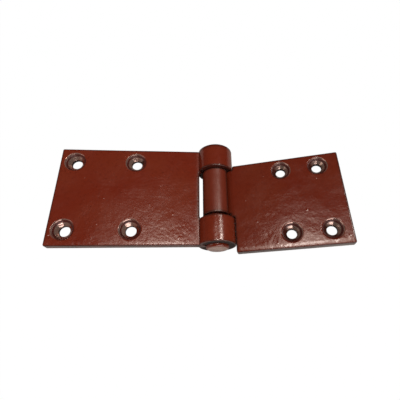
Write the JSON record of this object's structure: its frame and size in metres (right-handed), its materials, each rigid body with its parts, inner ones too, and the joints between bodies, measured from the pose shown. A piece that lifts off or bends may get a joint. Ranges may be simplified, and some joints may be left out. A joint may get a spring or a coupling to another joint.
{
  "type": "door hinge",
  "caption": "Heavy door hinge: a long and a short flat leaf with rolled knuckles on one thick pin, with countersunk screw holes, in red-brown gloss paint.",
  "frame": {"origin": "middle of the long leaf's four screw holes, on its back face", "axes": "+X towards the pin and along the leaves, Y along the pin with its showing end at -Y, +Z out of the long leaf's screw side"},
  "size_m": [0.1677, 0.0693, 0.0342],
  "materials": {
    "leaf_paint": "red-brown gloss paint over rolled steel plate",
    "pin_paint": "red-brown gloss paint over round steel bar"
  },
  "bodies": {
    "long_leaf_and_pin": {"long_leaf": "leaf_paint", "pin": "pin_paint"},
    "short_leaf_body": {"short_leaf": "leaf_paint"}
  },
  "joints": [
    {"name": "short_leaf_fold", "type": "hinge", "parent": "long_leaf_and_pin", "child": "short_leaf_body", "pos_m": [0.0685, 0, 0.0025], "axis": [0, -1, 0], "range_deg": [-166, 133]}
  ]
}
